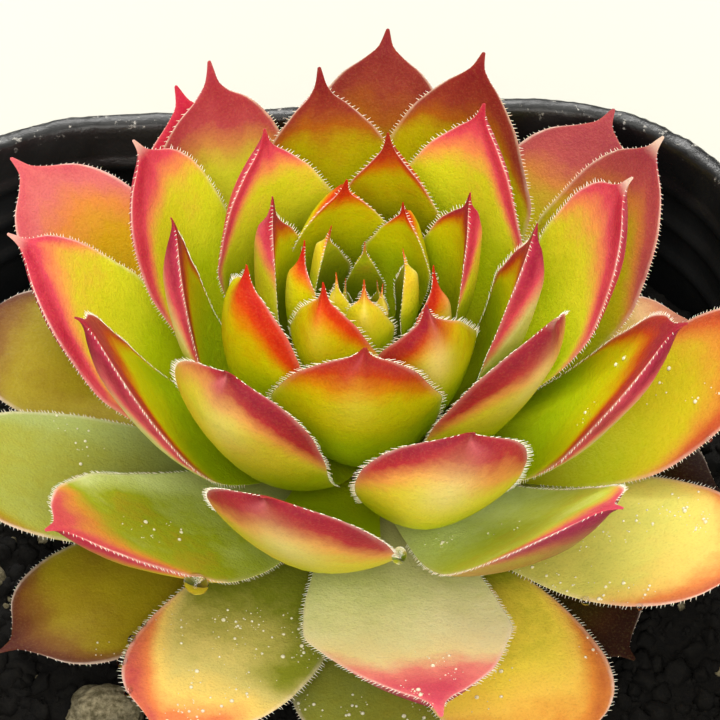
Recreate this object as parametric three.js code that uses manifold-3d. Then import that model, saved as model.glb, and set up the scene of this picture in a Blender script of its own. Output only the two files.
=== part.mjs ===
// Hens and chicks (Sempervivum): one rosette of 58 leaves on a short stem, in a rounded-square
// nursery pot of dark mix. Millimetres, +Z up, origin under the middle of the pot.
import * as THREE from "three";
import { mergeVertices } from "three/addons/utils/BufferGeometryUtils.js";
import Module from "manifold-3d";

const wasm = await Module();
wasm.setup();

// ---- driving dimensions ------------------------------------------------------------------

const GAP = 0.3; // clear space kept between pieces that touch

const POT = {
  height: 80,
  rimHalf: 43, // half the outer width across the flats of the lip
  baseHalf: 31,
  rimCorner: 22, // corner radius at the lip
  baseCorner: 16,
  wall: 1.1,
  floor: 1.6,
  bandHeight: 9, // the lip's outer band
  bandOut: 1.1,
  lipThick: 2.0,
  ribs: [75.5, 71.8, 68.1], // heights of the level ribs inside the wall
  ribOut: 0.5,
  drainHoles: 8,
  drainRadius: 2.6,
  drainCircle: 19,
};

const SOIL = { top: 63.6, relief: 0.5, rings: 5, grains: 30, grainSize: 1.2, circle: 36.5 };

// Loose pumice: middle on the mix and the three half sizes.
const PUMICE = [
  { x: -21.2, y: -19.6, size: [3.6, 3.0, 2.5], turn: 0.4 },
  { x: -31.6, y: -2.4, size: [1.7, 1.4, 1.2], turn: 1.9 },
  { x: 29.5, y: -27.4, size: [2.1, 1.7, 1.4], turn: 2.7 },
];

const STEM = { top: -11.0, radius: 7.6, foot: -42, footRadius: 4.2 };

// The rosette's axis stands a little behind the middle of the pot. Heights inside the rosette
// are measured from this point, which is level with the tips of the youngest leaves.
const ROSETTE = { x: 3.3, y: 6.1, z: 93 };

const LEAVES = 58;
const BUD_LEAVES = 10; // the youngest ones, joined in one bud
const GOLDEN_ANGLE = 137.508; // degrees from one leaf to the next older one
const FIRST_LEAF = 35.3; // degrees, azimuth of the youngest leaf

// Leaf sizes by age, from the youngest leaf (0) to the oldest (57), in mm and degrees.
const AGE = [0, 6, 12, 18, 25, 32, 40, 48, 57];
const BY_AGE = {
  reach: [1.3, 4.1, 8.0, 13.4, 22.0, 28.7, 39.4, 41.8, 33.5], // tip's distance from the axis
  rise: [-1.8, 3.5, 5.4, 7.5, 6.2, 3.4, -7.9, -20.6, -24.4], // tip's height
  rootReach: [0.8, 2.2, 3.4, 5.0, 6.0, 6.5, 6.5, 6.5, 6.0], // root's distance from the axis
  rootRise: [-9, -10, -12.4, -14.8, -17.2, -19.2, -21.8, -24.6, -26.6],
  length: [8, 13, 19, 25, 29.5, 33, 36.5, 36, 28],
  width: [2.6, 4.8, 8.8, 13.2, 15.9, 16.2, 16.8, 16.6, 15.0],
  thick: [1.0, 1.4, 2.1, 2.5, 2.7, 2.8, 2.8, 2.8, 2.6],
  cup: [0.3, 0.42, 0.44, 0.32, 0.15, 0.1, 0.08, 0.08, 0.08], // rise of the margins per half width
  rootLean: [85, 76, 62, 46, 34, 18, 8, -2, -4], // climb of the midrib at its root, degrees
  kneeLean: [92, 100, 103, 93, 77, 65, 34, 8, 2], // climb where the blade turns up
  bladeLean: [88, 99, 102, 90, 80, 71, 44, 10, 4], // climb of the blade
  tipLean: [88, 92, 92, 82, 50, 42, 25, 6, 0], // climb of the drawn-out point
  blunt: [0, 0, 0, 0.15, 0.34, 0.5, 0.8, 1, 1], // 0 for a pointed outline, 1 for a blunt one
  needle: [0.82, 0.84, 0.87, 0.9, 0.92, 0.925, 0.925, 0.925, 0.925], // where the drawn-out point starts
};

// The whole rosette nods: leaves at its back climb this many degrees more, those at its front less.
const NOD = { degrees: 10, heading: 3.5, fullUntil: 36, goneAt: 50 };

// Leaves that stray from the rule: degrees turned, mm further out, mm higher.
const STRAYS = {
  4: [0, 0.8, 0.8], 5: [0, -0.3, -0.3], 6: [0, -0.4, 0.1], 7: [-13, -0.4, -0.6],
  8: [-2, 0.8, -0.6], 9: [0, -0.4, 0.9], 10: [0, 0, -1.1], 11: [-6, -1.0, 0.4],
  12: [-4.5, 0.4, 0.9], 13: [-3.5, 1.2, 0.2], 14: [-1.5, -1.1, 0.5], 15: [-3, 0.4, -1.1],
  16: [0.5, -0.5, -0.3], 17: [-1.2, 0, 0.6], 18: [0, 1.5, 0], 19: [-1, -0.7, 0],
  20: [1, 0.4, -0.2], 21: [5, 0, 0.8], 22: [-1.5, -1.5, 0.4], 23: [1.5, 0.8, 0],
  24: [2.8, -0.3, -0.2], 25: [1, -0.5, 0.1], 26: [0, 1.2, 0], 27: [0, -0.4, -0.2],
  28: [1.5, 0.6, -0.2], 29: [-1.2, 0.3, 0], 30: [-2, 0, 0], 31: [-1, 1.5, -0.5],
  32: [1.5, -0.3, -0.2], 33: [-3, 0, 0], 34: [-3.5, 0, 0], 35: [0, -0.9, 0], 36: [-1, -0.2, 0.8],
  38: [0, -0.3, 0], 39: [0, 0, -1], 40: [6, 1.3, 0], 41: [2, 1.5, -1.1], 42: [0, 0.7, 0.6],
  43: [3, 0, -0.5], 49: [-1, 0, -0.5], 51: [5.5, 0, -0.5], 53: [-1.5, -7.5, 22.6], 54: [8, 0, 0],
  57: [-1.7, 0, -0.2],
};

// Leaves with a habit of their own: lean (or lean of the knee, blade and tip apart) and roll in
// degrees, width, thickness, cup and length as shares, sway of the blade to its left in mm, its
// bluntness and where its drawn-out point starts.
const HABITS = {
  6: { wide: 1.1 }, 8: { wide: 1.2, blunt: 0.2, sway: 0.4 }, 9: { wide: 1.1 },
  11: { wide: 1.32, blunt: 0.35, sway: 0.4 }, 12: { blunt: 0.25 },
  13: { lean: -14, wide: 0.9, blunt: 0.3, sway: 0.6 }, 14: { lean: -9, wide: 0.9 },
  15: { blunt: 0.15, wide: 1.18, sway: 0.7 }, 17: { lean: 7, blunt: 0.35, sway: -0.4 },
  18: { lean: -5, wide: 0.76 }, 19: { sway: 0.2, wide: 1.08, blunt: 0.3 },
  20: { sway: -0.8, blunt: 0.38, wide: 1.06 }, 21: { sway: 0.6 },
  22: { lean: 6, wide: 0.78, thick: 0.85, cup: 0.5 },
  23: { lean: -6, blunt: 0.45, roll: -6, wide: 1.03 }, 24: { blunt: 0.3, needle: 0.895 },
  25: { blunt: 0.8, lean: 5, sway: -1.3, roll: -2 },
  26: { wide: 0.92, blunt: 0.6, lean: -3, sway: 0.7 },
  27: { lean: -1, wide: 0.86, blunt: 0.7, sway: -1.1 },
  28: { blunt: 1.0, roll: -13, wide: 0.9, lean: 6, sway: -1.1 }, 29: { blunt: 0.35, sway: 1.0 },
  30: { thick: 0.9, cup: 0.6 }, 31: { lean: -6 },
  32: { wide: 1.04, sway: 1.7, blunt: 0.6, needle: 0.9 },
  33: { blunt: 1.0, lean: 8, roll: -2, sway: 1.4 }, 34: { lean: 1, wide: 0.95, sway: 0.9 },
  35: { blunt: 0.5, lean: -3, sway: -0.7 }, 36: { lean: 1, sway: -1.8 },
  37: { sway: 0.6, wide: 0.95 }, 38: { blunt: 0.4, sway: -0.8, wide: 1.08 },
  40: { blunt: 0.8, sway: -1.0 }, 41: { blunt: 0.3, needle: 0.9, roll: -4, wide: 1.1 },
  42: { blunt: 0.9 }, 46: { wide: 0.94, sway: 0.5 }, 51: { wide: 0.88 },
  53: { knee: 20, blade: 50, tip: 50, long: 1.2 },
};

// Half width along the blade, root to point, as a share of the widest, for both outlines.
const OUTLINE = {
  at: [0, 0.2, 0.4, 0.52, 0.62, 0.7, 0.77, 0.83, 0.88, 0.925, 0.955, 1],
  pointed: [0.55, 0.78, 0.97, 1, 0.81, 0.64, 0.49, 0.31, 0.18, 0.1, 0.06, 0.02],
  blunt: [0.42, 0.62, 0.85, 0.96, 1, 0.99, 0.93, 0.82, 0.63, 0.28, 0.1, 0.02],
};
const POINT_STARTS = 0.925; // share of the length where the outline turns into the point
const MIDRIB_AT = [0, 0.42, 0.7, 0.91, 1]; // where root, knee, blade, blade and tip lean
const LEAST = { half: 0.32, thick: 0.62 }; // the slimmest a leaf gets, at its point
const STATIONS = [0, 0.2, 0.4, 0.55, 0.67, 0.77, 0.85, 0.905, 0.95, 1];
const BUD_STATIONS = [0, 0.25, 0.5, 0.68, 0.8, 0.9, 1];
const ACROSS = [-0.58, 0, 0.58]; // where the upper and under face are sampled between the margins
const WALL_CLEAR = 3.2; // between the oldest leaves' tips and the pot's wall

// ---- small helpers -----------------------------------------------------------------------

const radians = THREE.MathUtils.degToRad;

// A seeded random stream, so every build is the same.
function randomStream(seed) {
  let state = seed;
  return () => {
    state = (state * 16807) % 2147483647;
    return state / 2147483647;
  };
}

// A smooth curve through (xs, ys) that doesn't overshoot between its points.
function smoothCurve(xs, ys) {
  const last = xs.length - 1;
  const slope = xs.slice(1).map((x, i) => (ys[i + 1] - ys[i]) / (x - xs[i]));
  const tangent = xs.map((_, i) => {
    if (i === 0) return slope[0];
    if (i === last) return slope[last - 1];
    const [before, after] = [slope[i - 1], slope[i]];
    return before * after <= 0 ? 0 : (2 * before * after) / (before + after);
  });
  return (x) => {
    const at = Math.min(Math.max(x, xs[0]), xs[last]);
    let i = 0;
    while (i < last - 1 && at > xs[i + 1]) i++;
    const span = xs[i + 1] - xs[i];
    const s = (at - xs[i]) / span;
    return (
      ys[i] * (1 + 2 * s) * (1 - s) ** 2 +
      tangent[i] * span * s * (1 - s) ** 2 +
      ys[i + 1] * s * s * (3 - 2 * s) +
      tangent[i + 1] * span * s * s * (s - 1)
    );
  };
}

// A geometry from plain points and triangles.
function geometryOf(points, triangles) {
  const geometry = new THREE.BufferGeometry();
  geometry.setAttribute("position", new THREE.Float32BufferAttribute(points.flat(), 3));
  geometry.setIndex(triangles.flat());
  return geometry;
}

// A closed geometry as a solid that can be joined and cut.
function solidOf(geometry) {
  const bare = geometry.clone();
  bare.deleteAttribute("normal");
  bare.deleteAttribute("uv");
  const merged = mergeVertices(bare, 1e-4);
  return new wasm.Manifold(
    new wasm.Mesh({
      numProp: 3,
      vertProperties: new Float32Array(merged.attributes.position.array),
      triVerts: new Uint32Array(merged.index.array),
    }),
  );
}

// The largest body of a solid, as a geometry; scraps that a cut leaves are dropped.
function geometryFrom(solid) {
  const [largest] = solid.decompose().sort((a, b) => b.volume() - a.volume());
  const mesh = largest.getMesh();
  const geometry = new THREE.BufferGeometry();
  geometry.setAttribute("position", new THREE.BufferAttribute(mesh.vertProperties, 3));
  geometry.setIndex(new THREE.BufferAttribute(mesh.triVerts, 1));
  return geometry;
}

// A closed skin over rings of points that run the same way round, from one end to the other.
function skinRings(rings) {
  const around = rings[0].length;
  const points = rings.flat();
  const triangles = [];
  for (let r = 0; r + 1 < rings.length; r++) {
    for (let i = 0; i < around; i++) {
      const next = (i + 1) % around;
      const [a, b] = [r * around + i, r * around + next];
      const [c, d] = [a + around, b + around];
      triangles.push([a, b, d], [a, d, c]);
    }
  }
  const capEnds = [
    [rings[0], 0, false],
    [rings.at(-1), (rings.length - 1) * around, true],
  ];
  for (const [ring, start, forward] of capEnds) {
    const centre = points.length;
    points.push([0, 1, 2].map((k) => ring.reduce((sum, p) => sum + p[k], 0) / around));
    for (let i = 0; i < around; i++) {
      const [a, b] = [start + i, start + ((i + 1) % around)];
      triangles.push(forward ? [a, b, centre] : [b, a, centre]);
    }
  }
  return geometryOf(points, triangles);
}

const named = (name, geometry, color, roughness) => {
  const flat = geometry.toNonIndexed();
  flat.computeVertexNormals();
  const mesh = new THREE.Mesh(flat, new THREE.MeshStandardMaterial({ color, roughness, metalness: 0 }));
  mesh.name = name;
  return mesh;
};

// ---- pot ---------------------------------------------------------------------------------

// A level ring of points round a square with round corners.
function roundedSquare(half, corner, z, flatSteps = 2, arcSteps = 7) {
  const ring = [];
  for (let side = 0; side < 4; side++) {
    const turn = (side * Math.PI) / 2;
    const place = (x, y) => [
      x * Math.cos(turn) - y * Math.sin(turn),
      x * Math.sin(turn) + y * Math.cos(turn),
      z,
    ];
    const flat = half - corner;
    for (let i = 0; i < flatSteps; i++) ring.push(place(half, flat * ((2 * i) / flatSteps - 1)));
    for (let i = 0; i < arcSteps; i++) {
      const angle = (i / arcSteps) * (Math.PI / 2);
      ring.push(place(flat + corner * Math.cos(angle), flat + corner * Math.sin(angle)));
    }
  }
  return ring;
}

// The pot's outer wall at a height, moved in by an inset.
function potRing(z, inset = 0) {
  const share = z / POT.height;
  const half = THREE.MathUtils.lerp(POT.baseHalf, POT.rimHalf - POT.bandOut, share) - inset;
  const corner = THREE.MathUtils.lerp(POT.baseCorner, POT.rimCorner, share) - inset;
  return roundedSquare(half, corner, z);
}

function makePot() {
  const top = POT.height;
  const band = top - POT.bandHeight;
  const inner = POT.wall;
  const lipIn = POT.lipThick - POT.bandOut;
  const outside = [
    potRing(0, 1.2),
    potRing(0.5, 0.3),
    potRing(1.4),
    potRing(band - 1),
    potRing(band, -POT.bandOut * 0.8),
    potRing(top - 1.6, -POT.bandOut * 0.8),
    potRing(top - 1.1, -POT.bandOut),
    potRing(top - 0.3, -POT.bandOut * 0.9),
    potRing(top, -POT.bandOut * 0.35),
    potRing(top - 0.1, lipIn * 0.6),
    potRing(top - 0.7, lipIn),
    potRing(top - 1.6, inner),
  ];
  const ribs = POT.ribs.flatMap((z) => [
    potRing(z + 0.8, inner),
    potRing(z, inner + POT.ribOut),
    potRing(z - 0.8, inner),
  ]);
  const inside = [
    potRing(POT.height * 0.4, inner),
    potRing(POT.floor + 1, inner + 0.2),
    potRing(POT.floor, inner + 1),
  ];
  let pot = solidOf(skinRings([...outside, ...ribs, ...inside]));
  for (let i = 0; i < POT.drainHoles; i++) {
    const angle = ((i + 0.5) * 2 * Math.PI) / POT.drainHoles;
    const hole = new THREE.CylinderGeometry(POT.drainRadius, POT.drainRadius, 8, 10);
    hole.rotateX(Math.PI / 2);
    hole.translate(POT.drainCircle * Math.cos(angle), POT.drainCircle * Math.sin(angle), 0);
    pot = pot.subtract(solidOf(hole));
  }
  return geometryFrom(pot);
}

// ---- stem --------------------------------------------------------------------------------

function makeStem(grow = 0) {
  const { top, radius, foot, footRadius } = STEM;
  const profile = [
    [0, foot - grow],
    [footRadius * 0.6 + grow, foot - grow],
    [footRadius + grow, foot + 4],
    [footRadius + 1 + grow, -30],
    [radius + grow, -26],
    [radius + grow, -19],
    [radius * 0.86 + grow, -15],
    [radius * 0.55 + grow, -12],
    [radius * 0.3 + grow, top + grow],
    [0, top + grow],
  ].map(([r, z]) => new THREE.Vector2(r, z));
  const stem = new THREE.LatheGeometry(profile, 16);
  stem.rotateX(Math.PI / 2);
  return stem;
}

// ---- leaves ------------------------------------------------------------------------------

const byAge = Object.fromEntries(
  Object.entries(BY_AGE).map(([key, values]) => [key, smoothCurve(AGE, values)]),
);
const pointedShare = smoothCurve(OUTLINE.at, OUTLINE.pointed);
const bluntShare = smoothCurve(OUTLINE.at, OUTLINE.blunt);

// How far the inside of the pot's wall is from the rosette's axis, along an azimuth.
function wallDistance(azimuth, height) {
  const ring = potRing(height, POT.wall);
  const direction = new THREE.Vector2(Math.cos(azimuth), Math.sin(azimuth));
  let nearest = Infinity;
  ring.forEach(([x, y], i) => {
    const next = ring[(i + 1) % ring.length];
    const from = new THREE.Vector2(x - ROSETTE.x, y - ROSETTE.y);
    const along = new THREE.Vector2(next[0] - x, next[1] - y);
    const across = direction.cross(along);
    const distance = from.cross(along) / across;
    const share = from.cross(direction) / across;
    if (distance > 0 && share >= 0 && share <= 1) nearest = Math.min(nearest, distance);
  });
  return nearest;
}

// The measures of one leaf: its sizes by age, its own stray and habit, and the wall that stops it.
function leafMeasures(n) {
  const m = Object.fromEntries(Object.entries(byAge).map(([key, curve]) => [key, curve(n)]));
  const [turn, out, up] = STRAYS[n] ?? [0, 0, 0];
  const habit = HABITS[n] ?? {};
  m.azimuth = radians(FIRST_LEAF + GOLDEN_ANGLE * n + turn);
  m.rise += up;
  m.reach += out;
  const nodding = THREE.MathUtils.clamp((NOD.goneAt - n) / (NOD.goneAt - NOD.fullUntil), 0, 1);
  const nod = NOD.degrees * nodding * Math.sin(m.azimuth + radians(NOD.heading));
  const lean = (habit.lean ?? 0) + nod;
  m.kneeLean += habit.knee ?? lean;
  m.bladeLean += habit.blade ?? lean;
  m.tipLean += habit.tip ?? lean;
  m.width *= habit.wide ?? 1;
  m.thick *= habit.thick ?? 1;
  m.cup *= habit.cup ?? 1;
  m.length *= habit.long ?? 1;
  m.blunt = habit.blunt ?? m.blunt;
  m.needle = habit.needle ?? m.needle;
  m.roll = radians(habit.roll ?? 0);
  m.sway = habit.sway ?? 0;
  const tipHeight = ROSETTE.z + m.rise;
  if (tipHeight < POT.height) {
    const room = wallDistance(m.azimuth, tipHeight) - WALL_CLEAR;
    if (room < m.reach) {
      m.length *= room / m.reach;
      m.reach = room;
    }
  }
  return m;
}

// The midrib in the upright plane through the axis: place and direction at each share of length.
// It climbs at the leaf's leans, ends at the tip, and its lower part is drawn onto the root.
function midrib(m) {
  const steps = 60;
  const leans = [m.rootLean, m.kneeLean, m.bladeLean, m.bladeLean, m.tipLean];
  const lean = smoothCurve(MIDRIB_AT, leans);
  const free = [[m.reach, m.rise]];
  for (let i = steps - 1; i >= 0; i--) {
    const angle = radians(lean((i + 0.5) / steps));
    const [r, z] = free[0];
    free.unshift([r - (Math.cos(angle) * m.length) / steps, z - (Math.sin(angle) * m.length) / steps]);
  }
  const [missR, missZ] = [m.rootReach - free[0][0], m.rootRise - free[0][1]];
  const path = free.map(([r, z], i) => {
    const pull = (1 - i / steps) ** 2.6;
    return [r + missR * pull, z + missZ * pull];
  });
  return (t) => {
    const i = Math.min(Math.floor(t * steps), steps - 1);
    const s = t * steps - i;
    const [from, to] = [path[i], path[i + 1]];
    const [dr, dz] = [to[0] - from[0], to[1] - from[1]];
    const step = Math.hypot(dr, dz);
    return { r: from[0] + dr * s, z: from[1] + dz * s, along: [dr / step, dz / step] };
  };
}

// A leaf's half width at a share of its length, as a share of its widest.
function outlineShare(m, t) {
  const body = (t * POINT_STARTS) / m.needle;
  const point = 1 - ((1 - t) * (1 - POINT_STARTS)) / (1 - m.needle);
  const at = t < m.needle ? body : point;
  return THREE.MathUtils.lerp(pointedShare(at), bluntShare(at), m.blunt);
}

// The ring of points round the blade at a share of its length. The upper face is hollowed
// between raised margins, and the under face falls to a keel.
function leafRing(m, rib, t, grow) {
  const { r, z, along } = rib(t);
  const half = Math.max((outlineShare(m, t) * m.width) / 2, LEAST.half) + grow;
  const nearPoint = THREE.MathUtils.clamp((t - 0.72) / 0.28, 0, 1);
  const thinning = (0.86 + 0.14 * Math.sin(Math.PI * t)) * (1 - nearPoint ** 1.5);
  const thick = Math.max(m.thick * thinning, LEAST.thick);
  const cup = m.cup * Math.sin((Math.PI / 2) * Math.min(t / 0.5, 1)) * (1 - 0.35 * nearPoint);
  const keel = 1.8 - 0.55 * nearPoint;
  const height = (u, face) => {
    const hollow = cup * half * u * u;
    const wide = Math.abs(u);
    if (face > 0) return hollow + thick * 0.24 * (1 - wide ** 2.4) ** 0.8 + grow;
    return hollow - thick * 0.76 * (1 - wide ** keel) ** 0.85 - grow;
  };
  const [cosA, sinA] = [Math.cos(m.azimuth), Math.sin(m.azimuth)];
  const [cosR, sinR] = [Math.cos(m.roll), Math.sin(m.roll)];
  const sway = m.sway * Math.sin(Math.PI * t ** 1.2);
  const place = (u, h) => {
    const side = u * half * cosR - h * sinR + sway;
    const lift = u * half * sinR + h * cosR;
    const radial = r - along[1] * lift;
    return [radial * cosA - side * sinA, radial * sinA + side * cosA, z + along[0] * lift];
  };
  const margin = (u) => place(u, cup * half);
  return [
    margin(-1),
    ...ACROSS.map((u) => place(u, height(u, -1))),
    margin(1),
    ...ACROSS.toReversed().map((u) => place(u, height(u, 1))),
  ];
}

function makeLeaf(n, grow = 0) {
  const m = leafMeasures(n);
  const rib = midrib(m);
  const stations = n < BUD_LEAVES ? BUD_STATIONS : STATIONS;
  return skinRings(stations.map((t) => leafRing(m, rib, t, grow)));
}

// The bud: its leaves joined round a small core.
function makeBud(grow = 0) {
  const profile = [
    [0, STEM.top + GAP - grow],
    [2.6 + grow, STEM.top + GAP - grow],
    [3.2 + grow, -9],
    [2.4 + grow, -6],
    [0, -3 + grow],
  ].map(([r, z]) => new THREE.Vector2(r, z));
  const core = new THREE.LatheGeometry(profile, 12);
  core.rotateX(Math.PI / 2);
  let bud = solidOf(core);
  for (let n = 0; n < BUD_LEAVES; n++) bud = bud.add(solidOf(makeLeaf(n, grow)));
  return bud;
}

const leafName = (n) => `leaf_${String(n - BUD_LEAVES + 1).padStart(2, "0")}`;
const leafColor = (n) => new THREE.Color().setHSL(0.19 - 0.0016 * n, 0.62, 0.42);

// Each older leaf is hollowed by the younger ones that press on it, and cut at the stem.
function makeRosette() {
  const rosette = new THREE.Group();
  rosette.position.set(ROSETTE.x, ROSETTE.y, ROSETTE.z);
  const bud = makeBud();
  const grownStem = solidOf(makeStem(GAP));
  rosette.add(named("bud", geometryFrom(bud.subtract(grownStem)), leafColor(0), 0.5));
  const younger = [makeBud(GAP)];
  for (let n = BUD_LEAVES; n < LEAVES; n++) {
    let leaf = solidOf(makeLeaf(n)).subtract(grownStem);
    for (const neighbour of younger) {
      if (!leaf.intersect(neighbour).isEmpty()) leaf = leaf.subtract(neighbour);
    }
    younger.push(solidOf(makeLeaf(n, GAP)));
    rosette.add(named(leafName(n), geometryFrom(leaf), leafColor(n), 0.5));
  }
  rosette.add(named("stem", makeStem(), "#7d7a3c", 0.8));
  return rosette;
}

// ---- mix and pumice ----------------------------------------------------------------------

// A lump: an icosahedron pushed in and out, stretched to its half sizes.
function makeLump(size, seed, detail, grow = 0) {
  const random = randomStream(seed);
  const lump = new THREE.IcosahedronGeometry(1, detail);
  lump.deleteAttribute("normal");
  lump.deleteAttribute("uv");
  const shared = mergeVertices(lump, 1e-4);
  const position = shared.attributes.position;
  for (let i = 0; i < position.count; i++) {
    const push = 1 + 0.24 * (random() - 0.5);
    const point = new THREE.Vector3().fromBufferAttribute(position, i).multiplyScalar(push);
    point.multiply(new THREE.Vector3(size[0] + grow, size[1] + grow, size[2] + grow));
    position.setXYZ(i, point.x, point.y, point.z);
  }
  return shared;
}

function makePumice(index, grow = 0) {
  const { x, y, size, turn } = PUMICE[index];
  const stone = makeLump(size, 41 + index, 1, grow);
  stone.rotateZ(turn);
  stone.translate(x, y, SOIL.top + size[2] * 0.45);
  return stone;
}

// The mix fills the pot to below the rim; its top is uneven, with small grains standing out.
function makeMix() {
  const random = randomStream(7);
  const clear = POT.wall + POT.ribOut + GAP;
  const lower = [
    potRing(POT.floor + GAP + 0.1, POT.wall + 1.6),
    potRing(POT.floor + 4, clear),
    potRing(SOIL.top - 2, clear),
  ];
  const edge = potRing(SOIL.top - 0.6, clear);
  const upper = [];
  for (let i = 0; i < SOIL.rings; i++) {
    const share = 1 - i / SOIL.rings;
    upper.push(
      edge.map(([x, y]) => [x * share, y * share, SOIL.top + (random() - 0.5) * 2 * SOIL.relief]),
    );
  }
  let mix = solidOf(skinRings([...lower, edge, ...upper.slice(1)]));
  for (let i = 0; i < SOIL.grains; i++) {
    const angle = 2 * Math.PI * random();
    const out = SOIL.circle * Math.sqrt(0.12 + 0.88 * random());
    const size = SOIL.grainSize * (0.55 + 0.7 * random());
    const grain = makeLump([size, size * 0.85, size * 0.7], 100 + i, 0);
    grain.rotateZ(angle * 5);
    grain.translate(out * Math.cos(angle), out * Math.sin(angle), SOIL.top + size * 0.1);
    mix = mix.add(solidOf(grain));
  }
  const stemHole = makeStem(GAP);
  stemHole.translate(ROSETTE.x, ROSETTE.y, ROSETTE.z);
  mix = mix.subtract(solidOf(stemHole));
  PUMICE.forEach((_, i) => {
    mix = mix.subtract(solidOf(makePumice(i, GAP)));
  });
  return geometryFrom(mix);
}

// ---- assembly ----------------------------------------------------------------------------

const plant = new THREE.Group();
plant.add(named("pot", makePot(), "#16181a", 0.55));
plant.add(named("soil", makeMix(), "#241f1a", 0.95));
PUMICE.forEach((_, i) => plant.add(named(`pumice_${i + 1}`, makePumice(i), "#b9b2a0", 0.9)));
plant.add(makeRosette());

export default plant;
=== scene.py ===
"""Hens and chicks in a rounded-square nursery pot.

Fine leaves with margin hairs and dew, potting mix, stones, pot, floor and light.
"""

import math

import bmesh
import bpy
import numpy as np
from mathutils import Matrix, Vector, noise


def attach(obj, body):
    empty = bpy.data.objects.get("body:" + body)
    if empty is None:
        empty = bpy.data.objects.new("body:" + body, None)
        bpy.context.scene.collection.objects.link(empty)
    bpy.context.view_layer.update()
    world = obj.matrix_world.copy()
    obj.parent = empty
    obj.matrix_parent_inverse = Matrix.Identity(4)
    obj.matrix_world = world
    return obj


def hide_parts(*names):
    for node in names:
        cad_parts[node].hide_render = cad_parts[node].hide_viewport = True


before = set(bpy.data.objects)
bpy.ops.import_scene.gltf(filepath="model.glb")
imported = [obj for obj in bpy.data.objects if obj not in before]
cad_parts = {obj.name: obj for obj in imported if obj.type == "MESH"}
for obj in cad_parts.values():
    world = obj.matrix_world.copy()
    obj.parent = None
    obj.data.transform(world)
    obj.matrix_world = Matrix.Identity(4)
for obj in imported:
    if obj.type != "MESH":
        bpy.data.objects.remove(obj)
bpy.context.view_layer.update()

MM = 0.001

# ---- measures in millimetres, as in the part's own source ------------

POT = dict(height=80, rim_half=43, base_half=31, rim_corner=22, base_corner=16, wall=1.1, floor=1.6,
           band_height=9, band_out=1.1, lip=2.0, ribs=(75.5, 71.8, 68.1), rib_out=0.5,
           drain_holes=8, drain_radius=2.6, drain_circle=19)
MIX_TOP, MIX_GAP = 63.6, 0.25
# Each loose stone: x, y, half sizes and turn.
PUMICE = [(-21.2, -19.6, (3.6, 3.0, 2.5), 0.4), (-31.6, -2.4, (1.7, 1.4, 1.2), 1.9),
          (29.5, -27.4, (2.1, 1.7, 1.4), 2.7)]
ROSETTE = np.array([3.3, 6.1, 93.0])
LEAVES, BUD_LEAVES = 58, 10
GOLDEN_ANGLE, FIRST_LEAF = 137.508, 35.3
# Degrees that the leaves at the back stand steeper and those in front lie flatter, and the turn of
# that direction.
NOD, NOD_TURN = 10, 3.5
WALL_CLEARANCE = 3.2
# A leaf is never narrower or thinner than this, and this share of its thickness is above its margins.
NARROWEST, THINNEST, ABOVE_MARGIN = 0.04, 0.12, 0.24

# Every measure of a leaf at nine ages, the youngest leaf first. Leans are degrees above level.
AGE = [0, 6, 12, 18, 25, 32, 40, 48, 57]
BY_AGE = dict(
    reach=[1.3, 4.1, 8.0, 13.4, 22.0, 28.7, 39.4, 41.8, 33.5],
    rise=[-1.8, 3.5, 5.4, 7.5, 6.2, 3.4, -7.9, -20.6, -24.4],
    root_reach=[0.8, 2.2, 3.4, 5.0, 6.0, 6.5, 6.5, 6.5, 6.0],
    root_rise=[-9, -10, -12.4, -14.8, -17.2, -19.2, -21.8, -24.6, -26.6],
    length=[8, 13, 19, 25, 29.5, 33, 36.5, 36, 28],
    width=[2.6, 4.8, 8.8, 13.2, 15.9, 16.2, 16.8, 16.6, 15.0],
    thick=[1.0, 1.4, 2.1, 2.5, 2.7, 2.8, 2.8, 2.8, 2.6],
    cup=[0.3, 0.42, 0.44, 0.32, 0.15, 0.1, 0.08, 0.08, 0.08],
    root_lean=[85, 76, 62, 46, 34, 18, 8, -2, -4],
    knee_lean=[92, 100, 103, 93, 77, 65, 34, 8, 2],
    blade_lean=[88, 99, 102, 90, 80, 71, 44, 10, 4],
    tip_lean=[88, 92, 92, 82, 50, 42, 25, 6, 0],
    blunt=[0, 0, 0, 0.15, 0.34, 0.5, 0.8, 1, 1],
    needle=[0.82, 0.84, 0.87, 0.9, 0.92, 0.925, 0.925, 0.925, 0.925],
)
# Half widths of a pointed and of a blunt leaf as shares, from root to tip. The needle is the
# leaf's drawn-out end.
OUTLINE_AT = [0, 0.2, 0.4, 0.52, 0.62, 0.7, 0.77, 0.83, 0.88, 0.925, 0.955, 1]
OUTLINE_POINTED = [0.55, 0.78, 0.97, 1.0, 0.81, 0.64, 0.49, 0.31, 0.18, 0.1, 0.06, 0.02]
OUTLINE_BLUNT = [0.42, 0.62, 0.85, 0.96, 1.0, 0.99, 0.93, 0.82, 0.63, 0.28, 0.1, 0.02]
NEEDLE = 0.925

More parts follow.
